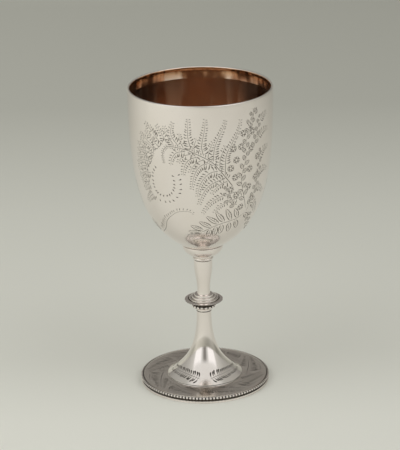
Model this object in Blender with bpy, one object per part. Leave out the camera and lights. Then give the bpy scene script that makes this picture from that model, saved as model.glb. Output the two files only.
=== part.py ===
# A silver chalice, gilt inside: a deep bowl on a knopped stem and a spreading foot with beaded edges.
# Metres, +Z up. The origin is on the table, under the middle of the foot.
import bpy
import bmesh
from math import cos, pi, radians, sin, sqrt, tau

# Space left at every joint, where the real pieces are soldered or drawn together.
JOINT_GAP = 0.0003

# Foot
FOOT_RADIUS = 0.0377
BAND_WIDTH = 0.0014
BAND_HEIGHT = 0.0018
BAND_WALL = 0.0009
FOOT_BEAD_RADIUS = 0.00093
FOOT_BEADS = 120
PLATE_THICKNESS = 0.0008
PLATE_RISE = 0.0007  # top of the plate above the middle of the beads
PLATE_OVERLAP = 0.003  # how far the plate reaches in under the stem

# Lower stem, a trumpet
SPREAD_RADIUS = 0.0218
SPREAD_EDGE = 0.0004
LOWER_STEM_HEIGHT = 0.0393
LOWER_STEM_TOP_RADIUS = 0.0043
LOWER_STEM_WAIST = 0.0040
TUBE_WALL = 0.0009

# Knop
KNOP_COLLAR_HEIGHT = 0.0027
KNOP_COLLAR_RADIUS = 0.0055
KNOP_BEAD_RADIUS = 0.00068
KNOP_BEADS = 28
KNOP_SPIGOT_RADIUS = 0.00545
KNOP_BODY_HEIGHT = 0.00534
KNOP_RADIUS = 0.0112
KNOP_STEPS = 3
KNOP_STEP_DROP = 0.00068
KNOP_RIM_WIDTH = 0.0012  # rounded rim outside the steps
KNOP_SEAT_MARGIN = 0.0002  # flat of the knop round the foot of the upper stem
KNOP_UNDER_RADIUS = 0.0072

# Upper stem
UPPER_STEM_HEIGHT = 0.0213
UPPER_STEM_TOP_RADIUS = 0.0053
UPPER_STEM_WAIST = 0.00372
UPPER_STEM_FOOT_RADIUS = 0.0044

# Neck ring, and the cup-shaped collar with the boss inside it
NECK_RING_HEIGHT = 0.0017
NECK_RING_RADIUS = 0.0060
COLLAR_RADIUS = 0.0121
COLLAR_LIP = 0.0006
COLLAR_NECK_RADIUS = 0.0054
COLLAR_FLOOR = 0.0024
BOSS_RADIUS = 0.0077
BOSS_HEIGHT = 0.0018  # on the axis, between the collar and the bowl

# Bowl
BOWL_DEPTH = 0.0977
BOWL_STRAIGHT = 0.0024  # height of the straight wall under the rim
BOWL_RADIUS = 0.0414
BOWL_WALL = 0.0008
LIP_RADIUS = 0.00065
BOWL_SEAT_RADIUS = 0.0100  # inside this the base turns flat
BOWL_SEAT_RISE = 0.0018

# Rod, nut and washer inside the stem
ROD_RADIUS = 0.0019
ROD_CLEARANCE = 0.0003
WASHER_RADIUS = 0.0075
WASHER_THICKNESS = 0.0016
NUT_ACROSS_FLATS = 0.007
NUT_HEIGHT = 0.0032
ROD_BELOW_NUT = 0.001

# The stack of pieces, from the table up
PLATE_TOP = BAND_HEIGHT + JOINT_GAP + FOOT_BEAD_RADIUS + PLATE_RISE
LOWER_STEM_BASE = PLATE_TOP + JOINT_GAP
KNOP_COLLAR_BASE = LOWER_STEM_BASE + LOWER_STEM_HEIGHT + JOINT_GAP
KNOP_BASE = KNOP_COLLAR_BASE + KNOP_COLLAR_HEIGHT + JOINT_GAP
KNOP_UNDERSIDE = KNOP_BASE + 2 * KNOP_BEAD_RADIUS + JOINT_GAP
KNOP_TOP = KNOP_UNDERSIDE + KNOP_BODY_HEIGHT
UPPER_STEM_BASE = KNOP_TOP + JOINT_GAP
NECK_RING_BASE = UPPER_STEM_BASE + UPPER_STEM_HEIGHT + JOINT_GAP
COLLAR_BASE = NECK_RING_BASE + NECK_RING_HEIGHT + JOINT_GAP
BOSS_BASE = COLLAR_BASE + COLLAR_FLOOR + JOINT_GAP
BOWL_BASE = BOSS_BASE + BOSS_HEIGHT + JOINT_GAP
RIM_HEIGHT = BOWL_BASE + BOWL_DEPTH

BORE_RADIUS = ROD_RADIUS + ROD_CLEARANCE


def clear_scene():
    for obj in list(bpy.data.objects):
        bpy.data.objects.remove(obj)


def material(name, colour, roughness):
    """A metal of this colour, given as red, green and blue from 0 to 1."""
    made = bpy.data.materials.new(name)
    made.use_nodes = True
    shader = made.node_tree.nodes["Principled BSDF"]
    shader.inputs["Base Color"].default_value = (*colour, 1)
    shader.inputs["Metallic"].default_value = 1
    shader.inputs["Roughness"].default_value = roughness
    return made


def silver(name, roughness=0.12):
    return material(name + "_silver", (0.80, 0.77, 0.72), roughness)


def place(name, bm, *materials):
    """Puts a finished bmesh in the scene as one object with its faces pointing out."""
    bmesh.ops.remove_doubles(bm, verts=bm.verts, dist=1e-7)
    bmesh.ops.recalc_face_normals(bm, faces=bm.faces)
    mesh = bpy.data.meshes.new(name)
    bm.to_mesh(mesh)
    bm.free()
    mesh.shade_smooth()
    mesh.set_sharp_from_angle(angle=radians(35))
    for made in materials:
        mesh.materials.append(made)
    obj = bpy.data.objects.new(name, mesh)
    bpy.context.scene.collection.objects.link(obj)
    return obj


def turned(name, profile, segments, *materials, closed=True):
    """Spins a profile of (radius, height) points about the axis, as on a lathe."""
    bm = bmesh.new()
    points = [bm.verts.new((radius, 0, height)) for radius, height in profile]
    edges = [bm.edges.new(pair) for pair in zip(points, points[1:])]
    if closed:
        edges.append(bm.edges.new((points[-1], points[0])))
    bmesh.ops.spin(
        bm, geom=points + edges, cent=(0, 0, 0), axis=(0, 0, 1), angle=tau, steps=segments, use_merge=True
    )
    return place(name, bm, *materials)


def bend(start, first, second, end, steps):
    """Points along a smooth curve from start to end, pulled towards first and then second."""
    points = []
    for i in range(steps + 1):
        t = i / steps
        weights = ((1 - t) ** 3, 3 * (1 - t) ** 2 * t, 3 * (1 - t) * t**2, t**3)
        corners = (start, first, second, end)
        points.append(tuple(sum(w * c[k] for w, c in zip(weights, corners)) for k in (0, 1)))
    return points


def arc(centre, radius, first, last, steps):
    """Points on a circle, from one angle to another in degrees."""
    angles = [radians(first + (last - first) * i / steps) for i in range(steps + 1)]
    return [(centre[0] + radius * cos(a), centre[1] + radius * sin(a)) for a in angles]


def inset(points, thickness):
    """The other side of a sheet whose outer side runs down through these points."""
    moved = []
    for i, (radius, height) in enumerate(points):
        before = points[max(i - 1, 0)]
        after = points[min(i + 1, len(points) - 1)]
        run, fall = after[0] - before[0], before[1] - after[1]
        length = sqrt(run * run + fall * fall)
        moved.append((radius - thickness * fall / length, height - thickness * run / length))
    return moved


def crossing(points, column, value):
    """The point where a line of points first passes a radius (column 0) or a height (column 1)."""
    for here, there in zip(points, points[1:]):
        if min(here[column], there[column]) <= value <= max(here[column], there[column]):
            share = (value - here[column]) / (there[column] - here[column])
            return tuple(here[k] + share * (there[k] - here[k]) for k in (0, 1))
    raise ValueError("the line of points does not reach this value")


def beaded_ring(name, count, circle, bead, height, back, stations):
    """A wire rolled into round beads, flat at the back, bent to a ring of this circle."""
    section = [radians(a) for a in (0, 60, 120, 240, 300)]
    bm = bmesh.new()
    rings = []
    for i in range(count * stations):
        along = abs(2 * (i % stations) / stations - 1)  # 0 in the middle of a bead, 1 between two
        swell = bead * sqrt(1 - (0.85 * along) ** 2)
        turn = tau * i / (count * stations)
        ring = []
        for a in section:
            radius = max(circle + swell * cos(a), back)
            ring.append(bm.verts.new((radius * cos(turn), radius * sin(turn), height + swell * sin(a))))
        rings.append(ring)
    for here, there in zip(rings, rings[1:] + rings[:1]):
        for k in range(len(section)):
            n = (k + 1) % len(section)
            bm.faces.new((here[k], here[n], there[n], there[k]))
    return place(name, bm, silver(name))


def foot_band():
    """Plain ring that stands on the table. Its ledge carries the beads, and its inner wall the plate."""
    ledge = BAND_HEIGHT
    wall_outside = FOOT_RADIUS - BAND_WIDTH
    wall_top = PLATE_TOP - PLATE_THICKNESS - JOINT_GAP
    inside = wall_outside - BAND_WALL
    edge = 0.00025
    profile = [
        (inside, wall_top),
        (wall_outside, wall_top),
        (wall_outside, ledge),
        (FOOT_RADIUS - edge, ledge),
        (FOOT_RADIUS, ledge - edge),
        (FOOT_RADIUS, 0),
        (inside, 0),
    ]
    turned("foot_band", profile, 56, silver("foot_band"))


def foot_beads():
    circle = FOOT_RADIUS - BAND_WIDTH / 2
    height = BAND_HEIGHT + JOINT_GAP + FOOT_BEAD_RADIUS
    back = circle - BAND_WIDTH / 4
    beaded_ring("foot_bead_ring", FOOT_BEADS, circle, FOOT_BEAD_RADIUS, height, back, 3)
    return back


def foot_plate(outside):
    """Flat disc that carries the engraving, open under the stem."""
    inside = SPREAD_RADIUS - PLATE_OVERLAP
    under = PLATE_TOP - PLATE_THICKNESS
    edge = PLATE_THICKNESS / 3
    profile = [
        (inside, PLATE_TOP),
        (outside - edge, PLATE_TOP),
        (outside, PLATE_TOP - edge),
        (outside, under),
        (inside, under),
    ]
    turned("foot_plate", profile, 56, silver("foot_plate", 0.25))


def lower_stem():
    """Trumpet drawn from sheet. Returns its inner side, which the washer pulls against."""
    top = LOWER_STEM_BASE + LOWER_STEM_HEIGHT
    outer = bend(
        (LOWER_STEM_TOP_RADIUS, top),
        (LOWER_STEM_WAIST, LOWER_STEM_BASE + 0.38 * LOWER_STEM_HEIGHT),
        (0.54 * SPREAD_RADIUS, LOWER_STEM_BASE + 0.186 * LOWER_STEM_HEIGHT),
        (SPREAD_RADIUS, LOWER_STEM_BASE + SPREAD_EDGE),
        11,
    )
    sheet = inset(outer, TUBE_WALL)
    floor_point = crossing(sheet, 1, LOWER_STEM_BASE)
    inner = [(sheet[0][0], top)] + [point for point in sheet[1:] if point[1] > LOWER_STEM_BASE]
    profile = outer + [(SPREAD_RADIUS, LOWER_STEM_BASE), floor_point] + inner[::-1]
    turned("lower_stem", profile, 32, silver("lower_stem"))
    return inner


def knop_collar():
    """Waisted collar between the lower stem and the beads under the knop."""
    top = KNOP_COLLAR_BASE + KNOP_COLLAR_HEIGHT
    foot_radius = LOWER_STEM_TOP_RADIUS + 0.0001
    waist = LOWER_STEM_TOP_RADIUS - 0.0002
    side = bend(
        (KNOP_COLLAR_RADIUS, top - KNOP_COLLAR_HEIGHT / 8),
        (waist, top - 0.35 * KNOP_COLLAR_HEIGHT),
        (waist, top - 0.75 * KNOP_COLLAR_HEIGHT),
        (foot_radius, KNOP_COLLAR_BASE),
        4,
    )
    profile = [(BORE_RADIUS, top), (KNOP_COLLAR_RADIUS, top)] + side + [(BORE_RADIUS, KNOP_COLLAR_BASE)]
    turned("knop_collar", profile, 24, silver("knop_collar"))


def knop_beads():
    back = KNOP_SPIGOT_RADIUS + JOINT_GAP
    circle = back + 0.45 * KNOP_BEAD_RADIUS
    height = KNOP_BASE + KNOP_BEAD_RADIUS
    beaded_ring("knop_bead_ring", KNOP_BEADS, circle, KNOP_BEAD_RADIUS, height, back, 3)


def knop():
    """Turned disc with rounded steps on top and a spigot below, which the bead ring fits round."""
    profile = [(BORE_RADIUS, KNOP_TOP)]
    radius, height = UPPER_STEM_FOOT_RADIUS + KNOP_SEAT_MARGIN, KNOP_TOP
    step_width = (KNOP_RADIUS - KNOP_RIM_WIDTH - radius) / KNOP_STEPS
    for _ in range(KNOP_STEPS):
        profile.append((radius, height))
        profile.append((radius + 0.65 * step_width, height - 0.15 * KNOP_STEP_DROP))
        profile.append((radius + step_width, height - 0.6 * KNOP_STEP_DROP))
        radius += step_width
        height -= KNOP_STEP_DROP
    widest = (KNOP_UNDERSIDE + height) / 2
    profile += bend((radius, height), (KNOP_RADIUS, height), (KNOP_RADIUS, height), (KNOP_RADIUS, widest), 3)
    profile += bend(
        (KNOP_RADIUS, widest),
        (KNOP_RADIUS - 0.0003, KNOP_UNDERSIDE + 0.0006),
        (KNOP_UNDER_RADIUS + 0.0018, KNOP_UNDERSIDE),
        (KNOP_UNDER_RADIUS, KNOP_UNDERSIDE),
        4,
    )[1:]
    profile += [
        (KNOP_SPIGOT_RADIUS, KNOP_UNDERSIDE),
        (KNOP_SPIGOT_RADIUS, KNOP_BASE),
        (BORE_RADIUS, KNOP_BASE),
    ]
    turned("knop", profile, 32, silver("knop", 0.1))


def upper_stem():
    """Tapered tube that flares a little onto the knop."""
    top = UPPER_STEM_BASE + UPPER_STEM_HEIGHT
    waist_height = UPPER_STEM_BASE + 0.1 * UPPER_STEM_HEIGHT
    outer = bend(
        (UPPER_STEM_TOP_RADIUS, top),
        (UPPER_STEM_TOP_RADIUS + 0.0005, top - 0.38 * UPPER_STEM_HEIGHT),
        (UPPER_STEM_WAIST, top - 0.55 * UPPER_STEM_HEIGHT),
        (UPPER_STEM_WAIST, waist_height),
        6,
    )
    outer += bend(
        outer[-1],
        (UPPER_STEM_WAIST, UPPER_STEM_BASE + 0.04 * UPPER_STEM_HEIGHT),
        (UPPER_STEM_FOOT_RADIUS, UPPER_STEM_BASE + 0.03 * UPPER_STEM_HEIGHT),
        (UPPER_STEM_FOOT_RADIUS, UPPER_STEM_BASE),
        3,
    )[1:]
    narrow = UPPER_STEM_WAIST - TUBE_WALL
    inner = [
        (narrow, UPPER_STEM_BASE),
        (narrow, waist_height),
        (narrow + 0.0004, top - 0.5 * UPPER_STEM_HEIGHT),
        (UPPER_STEM_TOP_RADIUS - TUBE_WALL, top),
    ]
    turned("upper_stem", outer + inner, 28, silver("upper_stem"))


def neck_ring():
    """Half-round ring between the stem and the collar."""
    half = NECK_RING_HEIGHT / 2
    middle = NECK_RING_BASE + half
    side = arc((NECK_RING_RADIUS - half, middle), half, 90, -90, 4)
    profile = [(BORE_RADIUS, middle + half)] + side + [(BORE_RADIUS, middle - half)]
    turned("neck_ring", profile, 26, silver("neck_ring"))


def bowl_outline():
    """Outer side of the bowl, from the end of the straight wall down to the axis."""
    depth = BOWL_DEPTH - BOWL_STRAIGHT
    seat = (BOWL_SEAT_RADIUS, BOWL_BASE + BOWL_SEAT_RISE)
    side = bend(
        (BOWL_RADIUS, BOWL_BASE + depth),
        (BOWL_RADIUS, BOWL_BASE + 0.417 * depth),
        (0.856 * BOWL_RADIUS, BOWL_BASE + 0.17 * depth),
        seat,
        10,
    )
    middle = (0, BOWL_BASE)
    base = bend(seat, (0.7 * BOWL_SEAT_RADIUS, BOWL_BASE), (0.35 * BOWL_SEAT_RADIUS, BOWL_BASE), middle, 3)
    return side + base[1:]


def collar(seat):
    """Cup with a thin lip. The bowl sits in it on this seat, and the boss fills its pocket."""
    pocket = BOSS_RADIUS + JOINT_GAP
    lip = crossing(seat, 0, COLLAR_RADIUS - COLLAR_LIP)
    rise = lip[1] - COLLAR_BASE
    side = bend(
        (COLLAR_RADIUS, lip[1] - COLLAR_LIP / 2),
        (COLLAR_RADIUS, COLLAR_BASE + 0.62 * rise),
        (0.79 * COLLAR_RADIUS, COLLAR_BASE + 0.19 * rise),
        (COLLAR_NECK_RADIUS + 0.0002, COLLAR_BASE + 0.05 * rise),
        6,
    )
    under_bowl = [point for point in seat[::-1] if pocket < point[0] < lip[0]]
    profile = [crossing(seat, 0, pocket), *under_bowl, lip] + side
    profile += [(COLLAR_NECK_RADIUS, COLLAR_BASE), (BORE_RADIUS, COLLAR_BASE)]
    profile += [(BORE_RADIUS, COLLAR_BASE + COLLAR_FLOOR), (pocket, COLLAR_BASE + COLLAR_FLOOR)]
    turned("collar", profile, 32, silver("collar"))


def bowl_boss(seat):
    """Round boss under the bowl, inside the collar. Its top follows the bowl."""
    under_bowl = [point for point in seat[::-1] if BORE_RADIUS < point[0] < BOSS_RADIUS]
    top = [crossing(seat, 0, BORE_RADIUS), *under_bowl, crossing(seat, 0, BOSS_RADIUS)]
    profile = top + [(BOSS_RADIUS, BOSS_BASE), (BORE_RADIUS, BOSS_BASE)]
    turned("bowl_boss", profile, 24, silver("bowl_boss"))


def bowl(outside):
    """Raised shell with a thickened lip, gilt inside."""
    inside = inset(outside, BOWL_WALL)[:-1] + [(0, BOWL_BASE + BOWL_WALL)]
    lip = arc((BOWL_RADIUS - LIP_RADIUS, RIM_HEIGHT - LIP_RADIUS), LIP_RADIUS, 180, 0, 4)
    under_lip = (BOWL_RADIUS - BOWL_WALL, RIM_HEIGHT - 3 * LIP_RADIUS)
    profile = inside[::-1] + [under_lip] + lip + outside
    gilding = material("bowl_gilding", (0.62, 0.33, 0.16), 0.2)
    obj = turned("bowl", profile, 48, silver("bowl"), gilding, closed=False)
    for face in obj.data.polygons:
        x, y, _ = face.center
        faces_in = face.normal.x * x + face.normal.y * y < 0
        if faces_in and sqrt(x * x + y * y) < BOWL_RADIUS - LIP_RADIUS:
            face.material_index = 1


def rod_washer_nut(trumpet_inside):
    """Rod under the bowl, drawn down by a nut on a washer that sits in the narrowing stem."""
    dull_silver = material("rod_silver", (0.60, 0.58, 0.55), 0.35)
    seat = crossing(trumpet_inside, 0, WASHER_RADIUS + JOINT_GAP)[1]
    washer_base = seat - WASHER_THICKNESS
    nut_base = washer_base - JOINT_GAP - NUT_HEIGHT
    rod_base = nut_base - ROD_BELOW_NUT
    rod_top = BOWL_BASE - JOINT_GAP
    chamfer = ROD_RADIUS / 5
    rod_profile = [
        (0, rod_top),
        (ROD_RADIUS, rod_top),
        (ROD_RADIUS, rod_base + chamfer),
        (ROD_RADIUS - chamfer, rod_base),
        (0, rod_base),
    ]
    turned("tie_rod", rod_profile, 20, dull_silver, closed=False)

    edge = WASHER_THICKNESS / 3
    washer_profile = [
        (BORE_RADIUS, seat),
        (WASHER_RADIUS, seat),
        (WASHER_RADIUS, washer_base + edge),
        (WASHER_RADIUS - edge, washer_base),
        (BORE_RADIUS, washer_base),
    ]
    turned("washer", washer_profile, 24, dull_silver)

    nut = block("nut", 6, NUT_ACROSS_FLATS / 2 / cos(pi / 6), NUT_HEIGHT, nut_base, dull_silver)
    hole = block("nut_hole", 20, BORE_RADIUS, 2 * NUT_HEIGHT, nut_base - NUT_HEIGHT / 2)
    hole.hide_render = True
    hole.display_type = "WIRE"
    cut = nut.modifiers.new("hole", "BOOLEAN")
    cut.operation = "DIFFERENCE"
    cut.object = hole


def block(name, sides, radius, height, base, *materials):
    """An upright prism."""
    bm = bmesh.new()
    bmesh.ops.create_cone(bm, cap_ends=True, segments=sides, radius1=radius, radius2=radius, depth=height)
    bmesh.ops.translate(bm, verts=bm.verts, vec=(0, 0, base + height / 2))
    return place(name, bm, *materials)


def build():
    clear_scene()
    foot_band()
    bead_back = foot_beads()
    foot_plate(bead_back - JOINT_GAP)
    trumpet_inside = lower_stem()
    knop_collar()
    knop_beads()
    knop()
    upper_stem()
    neck_ring()
    outline = bowl_outline()
    seat = inset(outline, -JOINT_GAP)
    collar(seat)
    bowl_boss(seat)
    bowl(outline)
    rod_washer_nut(trumpet_inside)


build()
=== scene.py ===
# A silver chalice, gilt inside, with fern engraving, a stepped knop and a beaded foot.
# Metres, +Z up, the origin on the table under the foot. The bowl's engraved oval faces roughly -Y.
from functools import partial
from math import cos, pi, radians, sin, sqrt, tau
from types import SimpleNamespace

import bpy
import numpy as np
from mathutils import Matrix, Vector, geometry, kdtree


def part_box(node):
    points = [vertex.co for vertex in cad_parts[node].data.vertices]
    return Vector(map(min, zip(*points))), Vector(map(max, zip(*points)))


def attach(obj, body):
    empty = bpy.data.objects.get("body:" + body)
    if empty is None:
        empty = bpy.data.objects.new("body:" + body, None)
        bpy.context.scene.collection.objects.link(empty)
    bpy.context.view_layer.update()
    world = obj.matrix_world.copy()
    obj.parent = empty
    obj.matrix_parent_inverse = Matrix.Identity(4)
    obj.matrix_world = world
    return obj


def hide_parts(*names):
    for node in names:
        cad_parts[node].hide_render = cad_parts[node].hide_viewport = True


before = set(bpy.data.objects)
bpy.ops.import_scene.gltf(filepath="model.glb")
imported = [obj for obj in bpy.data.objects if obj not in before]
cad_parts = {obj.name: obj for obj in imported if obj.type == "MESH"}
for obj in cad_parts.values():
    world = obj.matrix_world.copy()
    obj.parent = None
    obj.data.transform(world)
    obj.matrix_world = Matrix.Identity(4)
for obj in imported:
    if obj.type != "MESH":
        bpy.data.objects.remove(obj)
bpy.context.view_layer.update()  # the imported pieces, at their real size and place
mm = 0.001
print("frame loaded:", len(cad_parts), "pieces")


def inMetres(look):
    # the values by name, where those in mm are turned to metres and lose the Mm of their names
    return SimpleNamespace(**{name.removesuffix("Mm"): value * mm if name.endswith("Mm") else value
                              for name, value in look.items()})


def place(node):
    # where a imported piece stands, and how wide it is
    low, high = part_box(node)
    return SimpleNamespace(base=low.z, top=high.z, height=high.z - low.z, radius=high.x)


# Colours and nodes

def linear(hexColour):
    # sRGB hex to the linear colour that shaders take
    values = [int(hexColour[i:i + 2], 16) / 255 for i in (1, 3, 5)]
    return (*[v / 12.92 if v <= 0.04045 else ((v + 0.055) / 1.055) ** 2.4 for v in values], 1)


def fill(node, **inputs):
    # inputs are socket names in camelCase, or "in" and a number; a value or a hex colour is set, and another
    # node is linked
    sockets = {socket.name.replace(" ", "").lower(): socket for socket in reversed(node.inputs)}
    sockets.update({f"in{i}": socket for i, socket in enumerate(node.inputs)})
    for name, value in inputs.items():
        if isinstance(value, str):
            value = linear(value)
        if isinstance(value, bpy.types.Node):
            value = next(output for output in value.outputs if output.enabled)
        if isinstance(value, bpy.types.NodeSocket):
            node.id_data.links.new(value, sockets[name.lower()])
        else:
            sockets[name.lower()].default_value = value
    return node


def addNode(tree, kind, settings=None, **inputs):
    # kind is the node's type without "ShaderNode"
    node = tree.nodes.new("ShaderNode" + kind)
    for name, value in (settings or {}).items():
        setattr(node, name, value)
    return fill(node, **inputs)


def setTones(ramp, tones):
    # tones are places on the ramp, from 0 to 1, and their colours
    stops = ramp.color_ramp.elements
    for _ in tones[2:]:
        stops.new(0.5)
    for stop, (spot, colour) in zip(stops, tones):
        stop.position, stop.color = spot, linear(colour)


# Materials

def newFinish(name):
    # a material to be finished, what adds nodes to it, its shader, and places on the object in metres
    made = bpy.data.materials.new(name)
    made.use_nodes = True
    add = partial(addNode, made.node_tree)
    return made, add, made.node_tree.nodes["Principled BSDF"], add("TexCoord").outputs["Object"]


colourMix = {"data_type": "RGBA"}  # makes a mix node mix its inputs 6 and 7
multiply = {"operation": "MULTIPLY"}

silverLook = inMetres({
    "colour": "#F9F2EE",  # sterling is a warm white
    "filmColour": "#EDE3DA",  # thin tarnish
    "filmSizeMm": 26,
    "filmAmount": 0.35,
    "roughness": 0.11,
    "wipeMm": 0.5,  # real wiping marks are 0.02 mm wide: drawn coarse, or none would show
    "wipeDepthMm": 0.002,
    "waveMm": 14,  # slow unevenness left by the planishing hammer
    "waveDepthMm": 0.03,
})


def polishedSilver(name, roughness=silverLook.roughness, colour=silverLook.colour):
    # Sterling silver, hammered up, polished with rouge and worn soft by hand cleaning.
    # To the eye: a mirror a little out of focus, a faint yellow film in patches, wiping marks that run round.
    look = silverLook
    made, add, shader, where = newFinish(name)
    film = add("TexNoise", vector=where, scale=1 / look.filmSize, detail=4.0)
    filmed = add("MapRange", value=film, fromMin=0.42, fromMax=0.75, toMax=look.filmAmount)
    tint = add("Mix", colourMix, factor=filmed, in6=colour, in7=look.filmColour)
    stretched = add("Mapping", vector=where, scale=(0.12, 0.12, 1))
    wipe = add("TexNoise", vector=stretched, scale=1 / look.wipe, detail=3.0)
    rough = add("MapRange", value=wipe, fromMin=0.3, fromMax=0.7, toMin=roughness * 0.8,
                toMax=roughness * 1.25)
    wave = add("TexNoise", vector=where, scale=1 / look.wave, detail=1.0)
    slow = add("Bump", height=wave, distance=look.waveDepth)
    fine = add("Bump", height=wipe, distance=look.wipeDepth, normal=slow)
    fill(shader, baseColor=tint, metallic=1, roughness=rough, normal=fine)
    return made


gildingLook = inMetres({
    "colour": "#F6EADF",  # old gilding with much copper in it, worn thin over the silver
    "wornColour": "#EEDFD2",
    "deepColour": "#CFAF98",  # painted reflection: the darker colour of the upright bands
    "lipColour": "#DDB08A",
    "patchMm": 18,
    "roughness": 0.2,
    "fluteMm": 9,  # width of the slow flats that raising on a stake leaves, which run up the wall
    "fluteDepthMm": 0.24,
    "fadeFromMm": 110,  # heights between which the painted reflection bands begin
    "fadeToMm": 150,
    "dentMm": 1.6,  # how far the wall is worn outwards under the lip, in scallops
    "dentFromMm": 7,
})


def gilding(name):
    # Silver gilt, fire-gilded and burnished, then worn by drink and cleaning.
    # To the eye: a brown red gold, in upright bands where the wall mirrors itself, with painted reflection
    # bands darkening the colour along the flutes of the upper wall.
    look = gildingLook
    made, add, shader, where = newFinish(name)
    patch = add("TexNoise", vector=where, scale=1 / look.patch, detail=5.0)
    worn = add("MapRange", value=patch, fromMin=0.4, fromMax=0.7)
    tint = add("Mix", colourMix, factor=worn, in6=look.colour, in7=look.wornColour)
    rough = add("MapRange", value=patch, fromMin=0.3, fromMax=0.7, toMin=look.roughness * 0.8,
                toMax=look.roughness * 1.2)
    upright = add("Mapping", vector=where, scale=(1, 1, 0.18))
    flute = add("TexNoise", vector=upright, scale=1 / look.flute, detail=1.5)
    uneven = add("Bump", height=flute, distance=look.fluteDepth)
    height = add("SeparateXYZ", vector=where).outputs["Z"]
    # painted reflection: the colour is darkened in upright bands along the flutes, on the upper wall only
    band = add("MapRange", value=flute, fromMin=0.43, fromMax=0.56)
    walled = add("MapRange", value=height, fromMin=look.fadeFrom, fromMax=look.fadeTo)
    paintedBandMask = add("Math", multiply, in0=band, in1=walled)
    paintedBands = add("Mix", colourMix, factor=paintedBandMask, in6=tint, in7=look.deepColour)
    top, reach = place("bowl").top, look.dentFrom
    lipAt = add("MapRange", value=height, fromMin=top - 1.3 * reach, fromMax=top - 0.5 * reach)
    lip = add("Mix", colourMix, factor=lipAt, in6=paintedBands, in7=look.lipColour)
    near = add("MapRange", value=height, fromMin=top - reach, fromMax=top)
    scallop = add("MapRange", value=flute, fromMin=0.6, fromMax=0.42, toMin=0.35)
    dent = add("Math", multiply, in0=near, in1=scallop)
    dented = add("Bump", {"invert": True}, height=dent, distance=look.dent, normal=uneven)
    fill(shader, baseColor=lip, metallic=1, roughness=rough, normal=dented)
    return made


def tarnishAndShadeFinish(name, first, second, patchMm, detail, roughness):
    # a dark metal finish in patches: tarnish in engraved cuts, and tarnish with painted shade in gaps and
    # hollows
    made, add, shader, where = newFinish(name)
    patch = add("TexNoise", vector=where, scale=1 / (patchMm * mm), detail=detail)
    tint = add("Mix", colourMix, factor=patch, in6=first, in7=second)
    fill(shader, baseColor=tint, metallic=1, roughness=roughness)
    return made


def tarnishAndPaintedShade(name, dark="#3A3631", pale="#615A53"):
    # Silver sulphide with old polish in it, where no cloth reaches, darkened further as painted shade in gaps
    # and hollows. To the eye: nearly black, a dull sheen.
    return tarnishAndShadeFinish(name, dark, pale, 2.5, 3.0, 0.5)


def darkenedCut(name, pale="#8F8980", dark="#6B655E"):
    # Graver's cuts in silver, never polished out, where old polish sits. To the eye: fine grey strokes.
    return tarnishAndShadeFinish(name, pale, dark, 9, 2.0, 0.4)


# Shapes

def bend(start, first, second, end, steps):
    # a smooth curve from start to end, pulled towards first and then second
    t = np.linspace(0, 1, steps + 1)[:, None]
    corners = [np.array(p, float) for p in (start, first, second, end)]
    weights = ((1 - t) ** 3, 3 * (1 - t) ** 2 * t, 3 * (1 - t) * t ** 2, t ** 3)
    return [tuple(p) for p in sum(w * c for w, c in zip(weights, corners))]


def arc(centre, radius, first, last, steps):
    angles = np.radians(np.linspace(first, last, steps + 1))
    return [(centre[0] + radius * cos(a), centre[1] + radius * sin(a)) for a in angles]


def inset(points, thickness):
    # the other side of a sheet whose outer side runs down through these points
    line = np.array(points)
    down = np.gradient(line, axis=0)
    down /= np.linalg.norm(down, axis=1)[:, None]
    return [tuple(p) for p in line + thickness * np.stack([down[:, 1], -down[:, 0]], 1)]


def summed(gaps):
    return np.concatenate([[0], np.cumsum(gaps)])


def lengths(line):
    # how far along the line each of its points is
    return summed(np.hypot(*np.diff(line, axis=0).T))


def pointAt(way, at, line):
    # the place this way along a line whose points are at these lengths
    return np.stack([np.interp(way, at, column) for column in np.transpose(line)], -1)


def newObject(name, data):
    made = bpy.data.objects.new(name, data)
    bpy.context.scene.collection.objects.link(made)
    return made


def makeObject(name, points, faces, slots, corners, finishes, sharpDegrees=32):
    # corners are the normals of the faces' corners, or None
    mesh = bpy.data.meshes.new(name)
    mesh.from_pydata(points, [], faces)
    for finish in finishes:
        mesh.materials.append(finish)
    mesh.polygons.foreach_set("material_index", slots)
    mesh.shade_smooth()
    mesh.set_sharp_from_angle(angle=radians(sharpDegrees))
    if corners is not None:
        mesh.normals_split_custom_set(corners)
    return newObject(name, mesh)


def spun(profile, rounds, marked=(), mark=1, closed=False):
    # spins (radius, height) points about the axis; the line runs down the outside, and closes on itself
    # or has its ends on the axis or on another part of the same piece; marked rows take the finish mark
    turns = np.arange(rounds) * tau / rounds
    points, rings = [], []
    for radius, height in profile:
        if radius < 1e-7:
            rings.append([len(points)] * rounds)
            points.append((0, 0, height))
        else:
            rings.append(list(range(len(points), len(points) + rounds)))
            points += [(radius * sin(a), -radius * cos(a), height) for a in turns]
    faces, slots = [], []
    pairs = list(zip(rings, rings[1:])) + ([(rings[-1], rings[0])] if closed else [])
    for row, (upper, lower) in enumerate(pairs):
        for i in range(rounds):
            n = (i + 1) % rounds
            faces.append(list(dict.fromkeys([upper[i], lower[i], lower[n], upper[n]])))
            slots.append(mark if row in marked else 0)
    return points, faces, slots, None


def stands(piece, node):
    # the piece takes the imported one's place
    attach(piece, "root")
    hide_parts(node)


def turnedPiece(node, name, profile, rounds, dark=(), tarnish=()):
    # a piece turned in one, its dark rows given tarnish and painted shade
    finishes = [polishedSilver(name + "Silver")]
    if dark:
        finishes.append(tarnishAndPaintedShade(name + "Tarnish", *tarnish))
    stands(makeObject(name, *spun(profile, rounds, dark, closed=True), finishes), node)


# Engraving: V-shaped cuts, as a graver leaves them, in the mesh of a turned surface

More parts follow.
